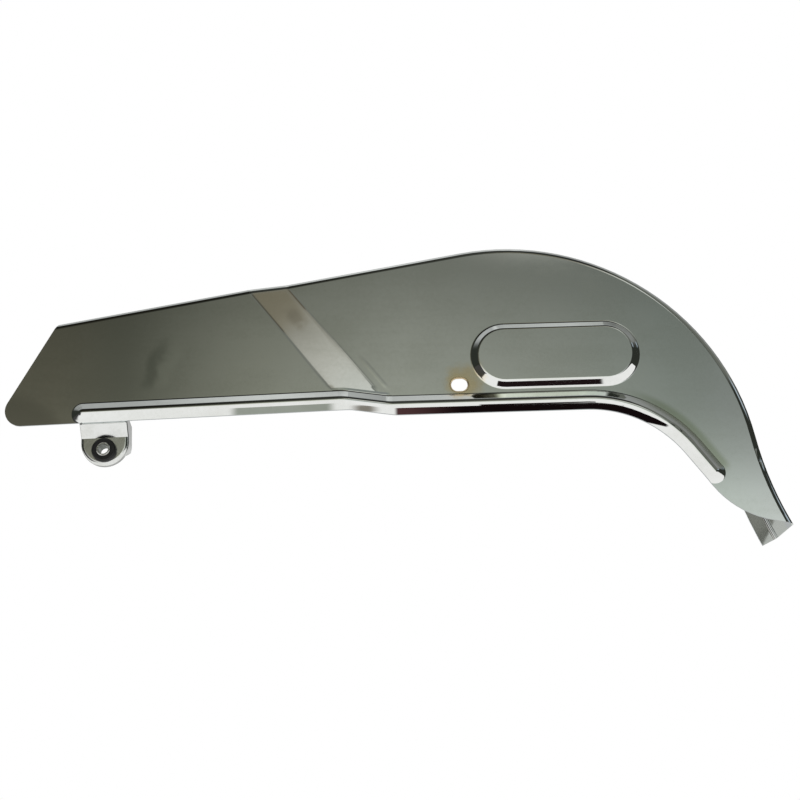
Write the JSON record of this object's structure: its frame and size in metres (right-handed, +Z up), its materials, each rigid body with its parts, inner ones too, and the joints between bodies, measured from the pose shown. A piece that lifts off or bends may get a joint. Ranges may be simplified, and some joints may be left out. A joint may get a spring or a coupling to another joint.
{
  "type": "motorcycle chain guard",
  "caption": "Chrome-plated upper chain guard: a pressed sheet channel with a ramp, a beaded lower edge, a raised oblong, a curled tail, and a front tab with a rubber-mounted bolt collar.",
  "frame": {"origin": "middle of the bore of the steel collar in the front tab", "axes": "+X runs rearwards along the guard, +Z up, and the outer face of the guard looks to -Y, the way the front bolt leaves"},
  "size_m": [0.505, 0.0534, 0.1951],
  "materials": {
    "plated_shell": "bright plating with light smudges and a brown stain round the fixing slot",
    "plated_bracket": "plating, duller than the shell",
    "grommet": "black, matt",
    "collar": "turned, plated steel"
  },
  "bodies": {
    "root": {"guard_shell": "plated_shell", "front_bracket": "plated_bracket", "rubber_grommet": "grommet", "grommet_collar": "collar"}
  },
  "joints": []
}
